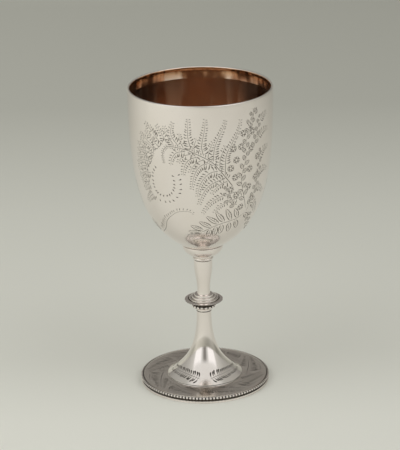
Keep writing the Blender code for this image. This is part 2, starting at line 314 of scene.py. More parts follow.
cutLook = inMetres({
    "seed": 5,
    "steepness": 0.62,  # depth of a cut over half its width
    "leastWidthMm": 0.1,
    "lineMm": 0.32,  # width of midribs and stems
    "sprayMm": 0.26,  # of the stems of sprays
    "outlineMm": 0.46,  # of leaves and petals
    "shadeMm": 0.3,  # of the shading strokes in a leaf
    "seedWidthMm": 0.4,  # of the seed of a flower
    "leafletMm": 3.9,
    "leafletWidthMm": 0.7,
    "leafletCurl": 0.9,  # how far it turns along its length, in radians
    "tipTaper": 0.78,  # how much smaller the last leaflet of a frond is
    "pitchMm": 1.55,  # from one leaflet of a frond to the next
    "stepMm": 1.1,  # between the points of a curved stroke
    "leanDegrees": 94,  # between a leaflet and its midrib
    "standOffMm": 0.32,  # from the midrib to the point of a leaflet
    "uneven": 0.12,  # share by which leaflets differ in place and length
    "unevenDegrees": 6,
    "clearMm": 0.28,  # least space between a leaflet and anything cut before it
    "borderMm": 0.3,  # left bare along the edges of the engraved part
})
# how wide a leaflet is along its length, as a graver swells and lifts
leafletShape = [(0, 0), (0.2, 0.36), (0.48, 0.78), (0.76, 1), (0.93, 0.64), (1, 0)]


def surface(line, key):
    # an engraved stretch of an outline, with what its flat map needs; it runs down the outside, or outwards
    # on a flat, and key is the column that places on it are given by: 1 for height, 0 for radius
    line = np.array(line)
    down = lengths(line)
    spiral = summed(2 * np.diff(down) / (line[1:, 0] + line[:-1, 0]))
    random = np.random.default_rng(cutLook.seed)
    slope = np.gradient(line, down, axis=0)
    return SimpleNamespace(line=line, key=key, down=down, slope=slope, spiral=spiral, random=random,
                           points=[], depths=[], edges=[], cuts=[], waiting=[])


def along(side, column, down):
    return np.interp(down, side.down, column)


def radiusAt(side, down):
    return along(side, side.line[:, 0], down)


def standing(side, turn, down, depth=0):
    # the points at these turns and lengths down the outline, sunk by this depth, and the normals there
    run, fall = (along(side, column, down) for column in side.slope.T)
    size = np.hypot(run, fall)
    outward, upward = -fall / size, run / size
    radius = radiusAt(side, down) - depth * outward
    height = along(side, side.line[:, 1], down) - depth * upward
    normals = np.stack([outward * np.sin(turn), -outward * np.cos(turn), upward], -1)
    return np.stack([radius * np.sin(turn), -radius * np.cos(turn), height], -1), normals


def chart(side, turn, down):
    # a flat map of the surface that keeps every angle: rings about the middle
    reach = np.exp(-along(side, side.spiral, down))
    return reach * np.cos(turn), reach * np.sin(turn)


def placed(side, knots, middle=0, hand=1):
    # places given by degrees round from the middle and mm of height, or of radius on a flat; hand -1 mirrors
    column = side.line[:, side.key]
    sign = 1 if column[-1] > column[0] else -1
    return [(radians(middle + hand * degrees), float(np.interp(sign * value * mm, sign * column, side.down)))
            for degrees, value in knots]


def stepped(side, spot, heading, distance):
    # headings are measured on the surface, from the direction round it towards the direction down it
    radius = radiusAt(side, spot[1])
    return spot[0] + distance * cos(heading) / radius, spot[1] + distance * sin(heading)


def headings(side, path):
    radius = radiusAt(side, path[:, 1])
    return np.arctan2(np.gradient(path[:, 1]), np.gradient(path[:, 0]) * radius)


def smoothLine(side, knots, step):
    # a smooth curve through the knots, with a point about every step, and how far along each point is
    knots = np.array(knots, float)
    padded = np.concatenate([2 * knots[:1] - knots[1:2], knots, 2 * knots[-1:] - knots[-2:-1]])
    t = np.linspace(0, 1, 9)[:-1, None]
    dense = [
        (2 * b + (c - a) * t + (2 * a - 5 * b + 4 * c - d) * t ** 2 + (3 * b - a - 3 * c + d) * t ** 3) / 2
        for a, b, c, d in zip(padded, padded[1:], padded[2:], padded[3:])
    ]
    dense = np.concatenate(dense + [knots[-1:]])
    radius = radiusAt(side, dense[:, 1])
    gaps = np.hypot(np.diff(dense[:, 0]) * (radius[1:] + radius[:-1]) / 2, np.diff(dense[:, 1]))
    length = summed(gaps)
    at = np.linspace(0, length[-1], max(3, round(length[-1] / step)) + 1)
    return pointAt(at, length, dense), at


def aside(side, path, at, way, turn):
    # the place this way along a path, and a heading turned by this much from the path's own
    return pointAt(way, at, path), np.interp(way, at, np.unwrap(headings(side, path))) + turn


def cut(side, path, widths):
    # one stroke of the graver along (turn, down) points; a width of 0 at an end is a point
    path, widths = np.array(path, float), np.array(widths, float)
    radius = radiusAt(side, path[:, 1])
    heading = headings(side, path)
    ends = (0, len(path) - 1)
    rows = []
    for i, (spot, width) in enumerate(zip(path, widths)):
        if i in ends or width < cutLook.leastWidth:  # too fine: a line without a depth
            rows.append([len(side.points)] * 3)
            side.points.append(tuple(spot))
            side.depths.append(0)
            continue
        rows.append([len(side.points) + k for k in range(3)])
        for k in (-1, 0, 1):
            shift = k * width / 2
            turn = spot[0] + shift * sin(heading[i]) / radius[i]
            side.points.append((turn, spot[1] - shift * cos(heading[i])))
            side.depths.append(0 if k else cutLook.steepness * width / 2)
    for here, there in zip(rows, rows[1:]):
        side.edges += list(dict.fromkeys(zip(here, there)))
    side.cuts.append(standing(side, path[:, 0], path[:, 1])[0])


def drawLine(side, path, width, taper=0.35):
    # a fine line, pointed at both ends and thinner towards the far one
    widths = width * np.linspace(1, taper, len(path))
    widths[0] = widths[-1] = 0
    cut(side, path, widths)


def leaflet(side, start, heading, length, width, curl=0):
    # one swelling stroke, kept back until the lines are cut; curl is how far it turns along the way
    path = [start]
    for (share, _), (further, _) in zip(leafletShape, leafletShape[1:]):
        bent = heading + curl * (share + further) / 2
        path.append(stepped(side, path[-1], bent, length * (further - share)))
    side.waiting.append((np.array(path), [width * size for _, size in leafletShape]))


def cutLeaflets(side):
    # cuts the leaflets that have room; the rest are left out, as an engraver would
    least, border = cutLook.clear ** 2, cutLook.border
    taken = np.concatenate(side.cuts)
    for path, widths in side.waiting:
        if path[:, 1].min() < border or path[:, 1].max() > side.down[-1] - border:
            continue
        places = standing(side, path[:, 0], path[:, 1])[0]
        if ((places[1:-1, None] - taken[None]) ** 2).sum(2).min() > least:
            cut(side, path, widths)
            taken = np.concatenate([taken, places])
    side.waiting = []


def frond(side, knots, size=1, line=True, fromShare=0.03, hands=(-1, 1), slim=1, apart=1,
          standOff=cutLook.standOff, taper=cutLook.tipTaper):
    # a midrib through these (turn, down) knots with leaflets to these sides, shorter towards the tip
    look = cutLook
    path, at = smoothLine(side, knots, look.step)
    if line:
        drawLine(side, path, look.line * (0.75 + 0.25 * size))
    length = at[-1]
    pitch = look.pitch * (0.35 + 0.65 * size) * apart
    for way in np.arange(fromShare * length + 0.4 * pitch, length - 0.2 * pitch, pitch):
        full = 1 - taper * (way / length) ** 0.7
        for hand in hands:
            jitter = side.random.uniform(-1, 1, 3)
            here = way + look.uneven * pitch * jitter[0]
            lean = hand * radians(look.leanDegrees + look.unevenDegrees * jitter[1])
            spot, ahead = aside(side, path, at, here, lean)
            start = stepped(side, spot, ahead, standOff * size)
            long = look.leaflet * size * full * (1 + look.uneven * jitter[2]) / sqrt(apart)
            wide = look.leafletWidth * size * slim * (0.5 + 0.5 * full)
            leaflet(side, start, ahead, long, wide, -hand * look.leafletCurl)


def outlined(side, base, heading, length, width, shares, swell, taper):
    # both edges of a leaf or a petal; swell is how wide it is at a share of its length
    middles = [(t, stepped(side, base, heading, length * t)) for t in shares]
    for hand in (-1, 1):
        path = [stepped(side, middle, heading + pi / 2, hand * width / 2 * swell(t)) for t, middle in middles]
        drawLine(side, path, cutLook.outline, taper)


def leafOutline(side, base, heading, length, width):
    # a leaf drawn by its outline, with a midrib and short shading strokes on one half
    shares = np.linspace(0.03, 0.98, 7)
    outlined(side, base, heading, length, width, shares, lambda t: sin(pi * t ** 0.85), 0.8)
    rib = [stepped(side, base, heading, length * t) for t in (0.12, 0.4, 0.62, 0.8)]
    drawLine(side, rib, 0.8 * cutLook.outline, 0.6)
    for t in (0.25, 0.4, 0.55, 0.7):
        start = stepped(side, stepped(side, base, heading, length * t), heading + pi / 2, 0.16 * width)
        leaflet(side, start, heading + radians(42), 0.36 * width, cutLook.shade)


def leafSpray(side, knots, leafMm, widthMm, everyMm, lean):
    # a stem with outlined leaves to either side in turn, and one at its tip
    path, at = smoothLine(side, knots, cutLook.step)
    drawLine(side, path, cutLook.spray)
    for n, way in enumerate(np.arange(0.12 * at[-1], at[-1] - 0.5 * mm, everyMm * mm)):
        hand, share = (-1, 1)[n % 2], way / at[-1]
        spot, ahead = aside(side, path, at, way, hand * radians(lean * (1 - 0.3 * share)))
        base = stepped(side, spot, ahead, 0.3 * mm)
        leafOutline(side, base, ahead, leafMm * mm * (1 - 0.35 * share), widthMm * mm * (1 - 0.25 * share))
    spot, ahead = aside(side, path, at, at[-1], 0)
    leafOutline(side, stepped(side, spot, ahead, 0.2 * mm), ahead, 0.6 * leafMm * mm, 0.7 * widthMm * mm)


def rosette(side, spot, radius, petals=5):
    # a small flower: outlined petals round a seed
    first = side.random.uniform(0, tau)
    for n in range(petals):
        heading = first + tau * n / petals
        base = stepped(side, spot, heading, 0.28 * radius)
        outlined(side, base, heading, 0.72 * radius, 0.72 * radius, np.linspace(0, 1, 6),
                 lambda t: sin(pi * t ** 1.25) ** 0.8, 0.9)
    leaflet(side, stepped(side, spot, first, -0.2 * radius), first, 0.4 * radius, cutLook.seedWidth)


def engraved(side, rounds, spacing):
    # the surface with its cuts: points, faces, slots (1 in a cut) and a normal for each corner
    cutLeaflets(side)
    strokes, _ = standing(side, *np.array(side.points).T)
    near = kdtree.KDTree(len(strokes))
    for i, spot in enumerate(strokes):
        near.insert(spot, i)
    near.balance()
    # rows of points fill the surface, except close to a cut
    length = side.down[-1]
    turns = np.arange(rounds) * tau / rounds
    spots = [(t, down) for down in (0, length) for t in turns]
    edges = [(start + i, start + (i + 1) % rounds) for start in (0, rounds) for i in range(rounds)]
    rowCount = round(length / spacing)
    for row in range(1, rowCount):
        down = length * row / rowCount
        count = round(tau * radiusAt(side, down) / spacing / 1.1)
        ring = [((i + row % 2 / 2) * tau / count, down) for i in range(count)]
        places, _ = standing(side, *np.array(ring).T)
        spots += [spot for spot, at in zip(ring, places) if near.find(at)[2] > 0.55 * spacing]
    first = len(spots)
    spots += side.points
    depths = np.array([0] * first + side.depths, float)
    edges += [(a + first, b + first) for a, b in side.edges]
    spots = np.array(spots)
    corners = [Vector(p) for p in np.stack(chart(side, *spots.T), 1)]
    points, _, faces, origins, _, _ = geometry.delaunay_2d_cdt(corners, edges, [], 0, 1e-8)
    flat = np.array([tuple(p) for p in points])
    turn = np.arctan2(flat[:, 1], flat[:, 0])
    down = np.interp(-np.log(np.maximum(np.hypot(*flat.T), 1e-9)), side.spiral, side.down)
    depth = np.zeros(len(flat))
    for i, origin in enumerate(origins):
        if origin:
            turn[i], down[i] = spots[origin[0]]
            depth[i] = depths[origin].max()
    faces = np.array(faces)
    # the map's middle lies beyond the surface's end
    faces = faces[np.hypot(*flat[faces].mean(1).T) > 0.9999 * np.exp(-side.spiral[-1])]
    places, normals = standing(side, turn, down, depth)
    first, second, third = (places[column] for column in faces.T)
    crossed = np.cross(second - first, third - first)
    inward = (crossed * normals[faces].sum(1)).sum(1) < 0
    faces[inward] = faces[inward][:, ::-1]
    crossed[inward] *= -1
    size = np.linalg.norm(crossed, axis=1)
    kept = size > 1e-14
    faces, crossed, size = faces[kept], crossed[kept], size[kept]
    isCut = depth[faces].max(1) > 0
    corners = normals[faces]
    corners[isCut] = (crossed / size[:, None])[isCut][:, None, :]
    return places, faces, isCut.astype(int), corners


def joined(parts, weld=2e-7):
    # welds parts that share a border into one mesh; a part's corner normals may be None
    points, faces, slots, corners, seen = [], [], [], [], {}
    for partPoints, partFaces, partSlots, partCorners in parts:
        numbers = []
        for point in partPoints:
            key = tuple(round(float(v) / weld) for v in point)
            if key not in seen:
                seen[key] = len(points)
                points.append(tuple(float(v) for v in point))
            numbers.append(seen[key])
        for i, face in enumerate(partFaces):
            ids = list(dict.fromkeys(numbers[j] for j in face))
            if len(ids) < 3:
                continue
            faces.append(ids)
            slots.append(int(partSlots[i]))
            if partCorners is None:
                corners += [(0, 0, 0)] * len(ids)
            else:
                kept = {numbers[j]: partCorners[i][k] for k, j in enumerate(face)}
                corners += [tuple(kept[number]) for number in ids]
    return points, faces, slots, corners


# Bowl

bowlLook = inMetres({
    "straightMm": 2.4,  # straight wall under the rim
    "wallMm": 0.8,
    "lipRadiusMm": 0.65,
    "seatRadiusMm": 10.0,  # inside this the base turns flat
    "seatRiseMm": 1.8,
    "throatMm": 1.7,  # how far below the lip the inside begins to close in
    "rounds": 256,
    "meshMm": 1.6,  # between the points of the engraved wall, where there are no cuts
    "engravedFromMm": 97.0,  # heights between which the wall is engraved
    "engravedToMm": 175.0,
    "stemLineMm": 0.42,
    "leafStemLineMm": 0.34,
    "leafWidthMm": 2.9,
    "flowerMm": 2.1,  # radius
})

# One composition of ferns, in degrees from its middle and mm of height. It is cut on the front, and again on
# the back in mirror image.
bowlFerns = inMetres({
    "stem": [
        (26.6, 131.3), (19.1, 138.2), (12.4, 144.2), (8.4, 147.4), (2.1, 150.3), (-7.1, 153.6), (-11, 154.8),
        (-18.5, 155.8), (-26.5, 156.2), (-30.1, 154.2), (-31.9, 150.5), (-30.6, 145.2),
    ],
    "fronds": [  # midribs
        [(1.9, 151.2), (0.5, 155.6), (0.8, 159.4), (2.8, 166.6), (3.6, 173)],
        [(9.4, 147.6), (10.2, 154.7), (12.8, 160.4), (17.2, 166.6), (19.6, 172)],
        [(19.2, 139.5), (19.9, 150.5), (24.6, 157.2), (30.6, 164.5), (32.2, 170.5)],
        [(-7.6, 154.6), (-10, 161.5), (-10.1, 166.6), (-9.6, 173.3)],
        [(-17.5, 156.6), (-22.8, 161.6), (-23.8, 165.9), (-21.6, 171)],
        [(-27, 157.6), (-32.6, 163.7), (-37.2, 168)], [(-34, 154), (-43.5, 160), (-48.9, 163.5)],
        [(-11.8, 154), (-19.1, 153), (-23.5, 149.5), (-25.2, 144.5)],
        [(-2.8, 151), (-9.6, 149.1), (-13.5, 144.8), (-15.1, 138.6)],
        [(7.5, 147), (-0.4, 145.6), (-5.6, 140.2), (-8.5, 130.9)],
        [(14, 142), (5.9, 140.6), (-1, 134.6), (-4.2, 125.9)],
        [(19.6, 137), (8.8, 134.5), (1.6, 129.3), (-3, 121)],
        [(31, 127.6), (17.6, 126.3), (6.9, 122), (0.2, 115.6)],
        [(38, 123.5), (28, 122.8), (17, 120.3), (10.8, 115.8)], [(-38, 152), (-47, 155.5), (-57, 157)],
        [(-40, 148.5), (-50, 150.5), (-62, 149.5)], [(-43, 144.5), (-53, 144.5), (-64, 141)],
        [(-49, 131), (-53, 129), (-58, 126)], [(-21.5, 157.5), (-27.5, 163), (-29.5, 168)],
        [(-31, 156.5), (-40, 162), (-44, 167)], [(-36.5, 153), (-48, 157.5), (-57, 161)],
        [(-39.5, 150), (-50, 153), (-61, 153.6)], [(-42, 146.5), (-52, 147.6), (-63, 145.5)],
        [(-46, 141.5), (-55, 140.6), (-64, 137)], [(-48, 134.8), (-54, 133.6), (-60, 130)],
        [(5, 149.5), (6.4, 154.5), (9.5, 160)], [(14.5, 143), (15.4, 150), (19.5, 157)],
        [(-5.2, 152.6), (-5.4, 157.5), (-3, 162)], [(-13.5, 155.6), (-16.6, 160), (-17, 165)],
        [(-7, 152.6), (-14.5, 151), (-19, 146.6)], [(2.4, 149.6), (-5, 146.6), (-9.6, 141)],
        [(22, 135.4), (13, 132.4), (7.5, 127.5)], [(47, 118), (54, 116.5), (64, 109)],
        [(50, 125), (57, 126), (67, 122)], [(53, 134), (60, 137), (69, 135)],
        [(53, 145), (60, 149), (68, 149)], [(49, 157), (57, 160), (66, 160)],
        [(51, 166), (58, 169), (64, 170)], [(-45, 138), (-54, 137), (-63, 133)],
        [(-46, 125), (-52, 122), (-57, 118)], [(-36, 159), (-44, 165), (-50, 168)],
    ],
    "ring": [
        (-41, 144.5), (-45.5, 140), (-47, 134.5), (-46, 128.5), (-42, 124.6), (-35, 123.4), (-27, 124.8),
        (-21.5, 129), (-20.2, 134.5), (-21.5, 141),
    ],
    "flowerStem": [
        (43.9, 115), (37.4, 126.4), (34.5, 134.3), (35.4, 140.2), (38, 147), (37.5, 154.8), (39.4, 162.1),
        (43.6, 168.4), (47, 173),
    ],
    "flowers": [
        (33, 154.5), (28.9, 147), (28.3, 136.6), (30.5, 125.3), (43, 152), (42.5, 140), (43, 129), (35, 162),
        (24.5, 129.5), (50, 134), (49, 121), (37, 117), (51, 146), (26, 154), (24, 142.5), (44, 162),
    ],
    "sprays": [
        [(46, 113), (51, 124), (54, 136), (54, 148)], [(45, 150), (49, 159), (52, 168)],
        [(33, 119), (24, 122), (20, 130)], [(40, 160), (41, 167), (45, 174)],
        [(50, 112), (57, 104), (64, 99)],
    ],
    "leafStem": [(-3, 102.3), (0.5, 103.1), (12.9, 106.6), (23, 108.3), (34, 109.3), (44, 112)],
    "leaves": [  # where each starts and ends
        ((17, 107.6), (3.4, 114.1)), ((22.1, 108.4), (12.5, 116.6)), ((29.3, 108.9), (22.2, 118)),
        ((9.5, 105.9), (-3.6, 110.4)), ((36.6, 109.8), (31.1, 117.3)), ((1, 103.9), (-12.6, 107.6)),
        ((27.8, 108), (30, 100.6)), ((20.1, 107.4), (19.6, 100)), ((14, 106.4), (13.2, 98.2)),
        ((7.9, 104.8), (6.4, 97.8)), ((34.4, 109), (40.6, 102)), ((0, 102.4), (-16, 103.2)),
        ((-1, 101.8), (-20, 99.2)), ((44, 111.6), (52, 108)), ((-58, 98.5), (-66, 106.5)),
        ((-62, 98), (-74, 104)),
    ],
    "crozier": [
        (-57, 98), (-45, 102.3), (-36.9, 109.1), (-29.8, 113), (-21.5, 116.3), (-12, 116.8), (-7, 114.6),
    ],
    "tallFronds": [  # where the two halves meet
        [(90, 101), (87, 124), (93, 148), (90, 172)],
        [(86, 104), (80, 116), (79, 127)],
        [(94, 104), (100, 116), (101, 127)],
    ],
})


def bowlOutline(at):
    # outer side, from where the straight wall ends down to the axis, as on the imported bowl
    straight, seatRadius = bowlLook.straight, bowlLook.seatRadius
    depth = at.height - straight
    seat = (seatRadius, at.base + bowlLook.seatRise)
    side = bend((at.radius, at.base + depth), (at.radius, at.base + 0.417 * depth),
                (0.856 * at.radius, at.base + 0.17 * depth), seat, 240)
    base = bend(seat, (0.7 * seatRadius, at.base), (0.35 * seatRadius, at.base), (0, at.base), 16)
    return side + base[1:]


def evenly(line, step):
    # the same line with its points this far apart
    length = lengths(line)
    at = np.linspace(0, length[-1], max(2, round(length[-1] / step)) + 1)
    return [tuple(p) for p in pointAt(at, length, line).tolist()]


def between(line, high, low):
    # the part of a falling line between two heights, with a point exactly on each
    heights, radii = [-z for r, z in line], [r for r, z in line]
    ends = [(float(np.interp(-z, heights, radii)), z) for z in (high, low)]
    return [ends[0]] + [p for p in line if low + 0.1 * mm < p[1] < high - 0.1 * mm] + [ends[1]]


def composition(side, middle, hand):
    # the ferns, turned to this middle; hand -1 mirrors them
    ferns, step = bowlFerns, cutLook.step
    put = partial(placed, side, middle=middle, hand=hand)
    drawLine(side, smoothLine(side, put(ferns.stem), step)[0], bowlLook.stemLine, 0.6)
    for start, end in ferns.leaves:
        base, tip = put([start, end])
        radius = radiusAt(side, (base[1] + tip[1]) / 2)
        run, fall = (tip[0] - base[0]) * radius, tip[1] - base[1]
        leafOutline(side, base, np.arctan2(fall, run), np.hypot(run, fall), bowlLook.leafWidth)
    for spot in put(ferns.flowers):
        rosette(side, spot, bowlLook.flower)
    for knots in ferns.fronds:
        frond(side, put(knots))
    drawLine(side, smoothLine(side, put(ferns.leafStem), step)[0], bowlLook.leafStemLine, 0.7)
    leafSpray(side, put(ferns.flowerStem), leafMm=4.6, widthMm=2.2, everyMm=2.5, lean=50)
    for knots in ferns.sprays:
        leafSpray(side, put(knots), leafMm=3.8, widthMm=1.9, everyMm=2.3, lean=48)
    frond(side, put(ferns.ring), 0.7, line=False, fromShare=0, apart=2.1, standOff=1.4 * mm, slim=1.5,
          taper=0.1)
    frond(side, put(ferns.stem), 0.8, line=False, fromShare=0.1)
    frond(side, put(ferns.crozier), 1.25, fromShare=0.1, hands=(-hand,), slim=0.7)


def makeBowl():
    at, look = place("bowl"), bowlLook
    wall, lip, high, low = look.wall, look.lipRadius, look.engravedTo, look.engravedFrom
    outline = bowlOutline(at)
    side = surface(evenly(between(outline, high, low), 0.4 * mm), 1)
    composition(side, 0, 1)
    composition(side, 180, -1)
    for start in (0, -180):
        for knots in bowlFerns.tallFronds:
            frond(side, placed(side, knots, start), 1.1)
    decorated = engraved(side, look.rounds, look.mesh)

    inside = inset(evenly(outline, 1.5 * mm), wall)[:-1] + [(0, at.base + wall)]
    narrow, start = at.radius - 2 * lip, at.top - look.throat
    throat = bend(inside[0], (inside[0][0], start), (narrow, start), (narrow, at.top - lip), 6)
    rim = arc((at.radius - lip, at.top - lip), lip, 180, 0, 14)
    upper = evenly(between(outline, outline[0][1], high), 1 * mm)
    upper[-1] = tuple(side.line[0])
    lower = evenly(between(outline, low, at.base + 0.01 * mm), 1.2 * mm)[:-1] + [(0, at.base)]
    lower[0] = tuple(side.line[-1])
    gilded = range(len(inside) + len(throat))  # it ends just over the inner edge of the lip
    shell = spun(inside[::-1] + throat[1:] + rim[1:] + upper, look.rounds, gilded, 2)
    finishes = [polishedSilver("bowlSilver"), darkenedCut("bowlEngraving"), gilding("bowlGilding")]
    bowl = makeObject("bowlShell", *joined([shell, decorated, spun(lower, look.rounds)]), finishes)
    stands(bowl, "bowl")


# Collar, stems and knop

stemLook = inMetres({  # for all its pieces
    "rounds": 160,
    "ringRounds": 128,
    "gapMm": 0.3,  # at every joint
    "solderMm": 0.15,  # how far the neck ring's edges stand out from the solder beside them
    "boreMm": 2.2,
    "tubeWallMm": 0.9,
})
collarLook = inMetres({
    "lipMm": 0.6,
    "grooveMm": 1.1,  # behind the lip, from its outer edge inwards
    "neckMm": 5.4,
    "floorMm": 2.4,
    "bossMm": 7.7,
})


def makeCollar():
    # a cup with a thin rounded lip, in which the bowl sits
    at, look, gap = place("collar"), collarLook, stemLook.gap
    line = inset(bowlOutline(place("bowl")), -0.02 * mm)[::-1]  # a hair outside the bowl
    pocket = look.boss + gap
    lip, neck, bore = look.lip, look.neck, stemLook.bore
    radii, heights = zip(*line)
    edge, pocketTop = np.interp((at.radius - lip, pocket), radii, heights).tolist()
    groove = at.radius - look.groove
    seat = [(pocket, pocketTop)] + [p for p in line if pocket < p[0] < groove - 0.2 * mm][::6]
    seat += [(groove, seat[-1][1]), (at.radius - lip, edge - 0.4 * lip)]
    # the groove behind the lip is painted dark: painted shade in the gap under the bowl, with tarnish
    dark = range(len(seat) - 4, len(seat))
    rise = edge - at.base
    rim = arc((at.radius - lip / 2, edge - lip * 0.35), lip / 2, 150, 0, 10)
    side = bend((at.radius, edge - lip / 2), (at.radius, at.base + 0.62 * rise),
                (0.79 * at.radius, at.base + 0.19 * rise), (neck + 0.2 * mm, at.base + 0.05 * rise), 36)
    floorAt = at.base + look.floor
    foot = at.base - gap  # solder fills the joint
    profile = seat + rim + side + [(neck, at.base), (neck, foot), (bore, foot)]
    profile += [(bore, floorAt), (pocket, floorAt)]
    turnedPiece("collar", "collarCup", profile, stemLook.rounds, dark)


def makeNeckRing():
    # a half-round ring, with a dark line of solder above and below it
    at, look = place("neck_ring"), stemLook
    half, under = at.height / 2, at.base - look.gap
    bore, neck = look.bore, at.radius - half - look.solder
    profile = [(bore, at.top), (neck, at.top)] + arc((at.radius - half, at.base + half), half, 90, -90, 18)
    profile += [(neck, at.base), (neck, under), (bore, under)]
    turnedPiece("neck_ring", "neckRing", profile, look.ringRounds, (1, 20, 21))


upperStemLook = inMetres({
    "topMm": 5.3,
    "waistMm": 3.72,
    "footMm": 3.9,
})


def makeUpperStem():
    # a drawn tube, widest under the collar, that flares a little onto the knop
    at, look, wall = place("upper_stem"), upperStemLook, stemLook.tubeWall
    top, waist, foot = look.top, look.waist, look.foot
    waistAt = at.base + 0.1 * at.height
    outer = bend((top, at.top), (top + 0.5 * mm, at.top - 0.38 * at.height),
                 (waist, at.top - 0.55 * at.height), (waist, waistAt), 40)
    outer += bend(outer[-1], (waist, at.base + 0.04 * at.height), (foot, at.base + 0.03 * at.height),
                  (foot, at.base - stemLook.gap), 12)[1:]
    inner = [(waist - wall, at.base), (waist - wall, waistAt), (top - wall, at.top)]
    turnedPiece("upper_stem", "upperStem", outer + inner, stemLook.rounds)


knopLook = inMetres({
    "seatMm": 4.6,  # radius of the flat under the stem
    "steps": [(5.7, 0), (7.1, 1.15), (8.6, 2.3)],  # mm: radius of each rounded step, and how far down it is
    "rimDropMm": 3.0,  # from the top to the flat rim
    "rimMm": 0.85,  # thickness of the rim
    "underMm": 7.2,  # radius of the hollow above the beads
    "spigotMm": 5.45,  # radius of what the beads sit round
    "rounds": 192,
    "tarnish": ("#5A534C", "#80776D"),  # tarnish with painted shade in the step grooves and under the rim; paler than elsewhere
    "beads": 18,
    "beadMm": 0.95,  # radius
    "beadDropMm": 0.55,  # below the middle of the ring's room
    "beadOutMm": 0.5,
})


def makeKnop():
    # a turned disc: rounded steps on top, a flat rounded rim, and a hollowed underside onto the beads
    at, look = place("knop"), knopLook
    bore, gap = stemLook.bore, stemLook.gap
    top, underAt = at.top + gap, place("knop_bead_ring").top + gap
    radius, profile, dark = look.seat, [(bore, top)], set()
    drops = [drop * mm for _, drop in look.steps] + [look.rimDrop]
    for (edge, _), drop, nextDrop in zip(look.steps, drops, drops[1:]):
        edge, height, foot = edge * mm, top - drop, top - nextDrop
        profile += bend((radius, height), (edge - 0.5 * mm, height), (edge, height - 0.1 * mm),
                        (edge, height - 0.5 * (height - foot)), 10)
        profile += bend(profile[-1], (edge, foot), (edge, foot), (edge + 0.25 * mm, foot), 4)[1:]
        # the foot of each step is painted dark: painted shade in the groove, with tarnish
        dark.update(range(len(profile) - 3, len(profile)))
        radius = edge + 0.25 * mm
    height, low = top - look.rimDrop, top - look.rimDrop - look.rim
    profile += bend((radius, height), (at.radius - 0.5 * mm, height - 0.1 * mm),
                    (at.radius, height - 0.15 * mm), (at.radius, height / 2 + low / 2), 12)[1:]
    shine = len(profile) - 3
    profile += bend(profile[-1], (at.radius, low), (at.radius - 0.3 * mm, low), (at.radius - mm, low), 8)[1:]
    profile += bend(profile[-1], (look.under + mm, low), (look.under + 0.5 * mm, underAt),
                    (look.under, underAt), 8)[1:]
    profile += [(look.spigot, underAt), (look.spigot, at.base), (bore, at.base)]
    # from the rim's lower edge on, the underside is painted dark: painted shade under the knop, with tarnish
    dark.update(range(shine + 1, len(profile)))
    turnedPiece("knop", "knopDisc", profile, look.rounds, dark, look.tarnish)


def makeKnopCollar():
    # waisted collar between the lower stem and the beads
    at, look, soft = place("knop_collar"), stemLook, 0.12 * mm
    foot, waist = trumpetLook.top + 0.1 * mm, trumpetLook.top - 0.2 * mm
    side = bend((at.radius, at.top - at.height / 8), (waist, at.top - 0.35 * at.height),
                (waist, at.top - 0.75 * at.height), (foot, at.base), 20)
    edge = arc((at.radius - soft, at.top - soft), soft, 90, 0, 4)
    under = at.base - look.gap
    profile = [(look.bore, at.top)] + edge + side + [(foot, under), (look.bore, under)]
    joints = (0, 1, 2, len(profile) - 4, len(profile) - 3)
    turnedPiece("knop_collar", "knopCollarWaisted", profile, look.ringRounds, joints)


trumpetLook = inMetres({
    "topMm": 4.3,
    "waistMm": 4.0,
    "edgeMm": 0.4,  # thickness of the rim at the foot
    "engravedFromMm": 11.5,  # radii of the part that is engraved
    "engravedToMm": 21.65,
    "fronds": [  # degrees from the front and radius of the knots; the same to either side
        [(9, 18.4), (24, 17.2), (44, 16.7), (66, 16.9), (92, 17.8)],
        [(172, 18.4), (156, 17.2), (138, 16.7), (118, 16.9), (98, 17.8)],
    ],
    "size": 1.06,
    "meshMm": 1.1,
    "solderMm": 0.25,
})


def makeLowerStem():
    # a trumpet of sheet silver, spun and drawn up, with long ferns engraved round its flare
    at, look, rounds = place("lower_stem"), trumpetLook, stemLook.rounds
    top, waist, wall, edgeAt = look.top, look.waist, stemLook.tubeWall, at.base + look.edge
    outer = bend((top, at.top), (waist, at.base + 0.38 * at.height),
                 (0.54 * at.radius, at.base + 0.186 * at.height), (at.radius, edgeAt), 120)
    radii, heights = zip(*outer)
    first, last = look.engravedFrom, look.engravedTo
    flare = np.linspace(first, last, 30)
    side = surface(np.stack([flare, np.interp(flare, radii[40:], heights[40:])], 1), 0)
    for knots in look.fronds:
        for hand in (-1, 1):
            frond(side, placed(side, knots, 0, hand), look.size, slim=1.3, apart=0.9, taper=0.5)
    decorated = engraved(side, rounds, look.mesh)
    plain = [p for p in outer if p[0] < first - 0.05 * mm] + [tuple(side.line[0])]
    inner = [p for p in inset(outer, wall) if p[1] > at.base + 0.05 * mm]
    inner[0] = (inner[0][0], at.top)
    solder, plateTop = look.solder, place("foot_plate").top
    rest = [tuple(side.line[-1])] + bend((at.radius, edgeAt), (at.radius + 0.4 * solder, edgeAt - 0.25 * mm),
                                         (at.radius + 0.5 * solder, plateTop + 0.05 * mm),
                                         (at.radius + solder, plateTop), 5)
    rest += [(inner[-1][0], plateTop), (inner[-1][0], at.base)] + inner[::-3][:-1] + [inner[0], plain[0]]
    upper = spun(plain, rounds)
    lower = spun(rest, rounds, (2, 3))  # the solder at the edge is dark
    finishes = [polishedSilver("trumpetSilver"), darkenedCut("trumpetEngraving", "#6F6962", "#3C3833")]
    stands(makeObject("trumpet", *joined([upper, decorated, lower]), finishes), "lower_stem")


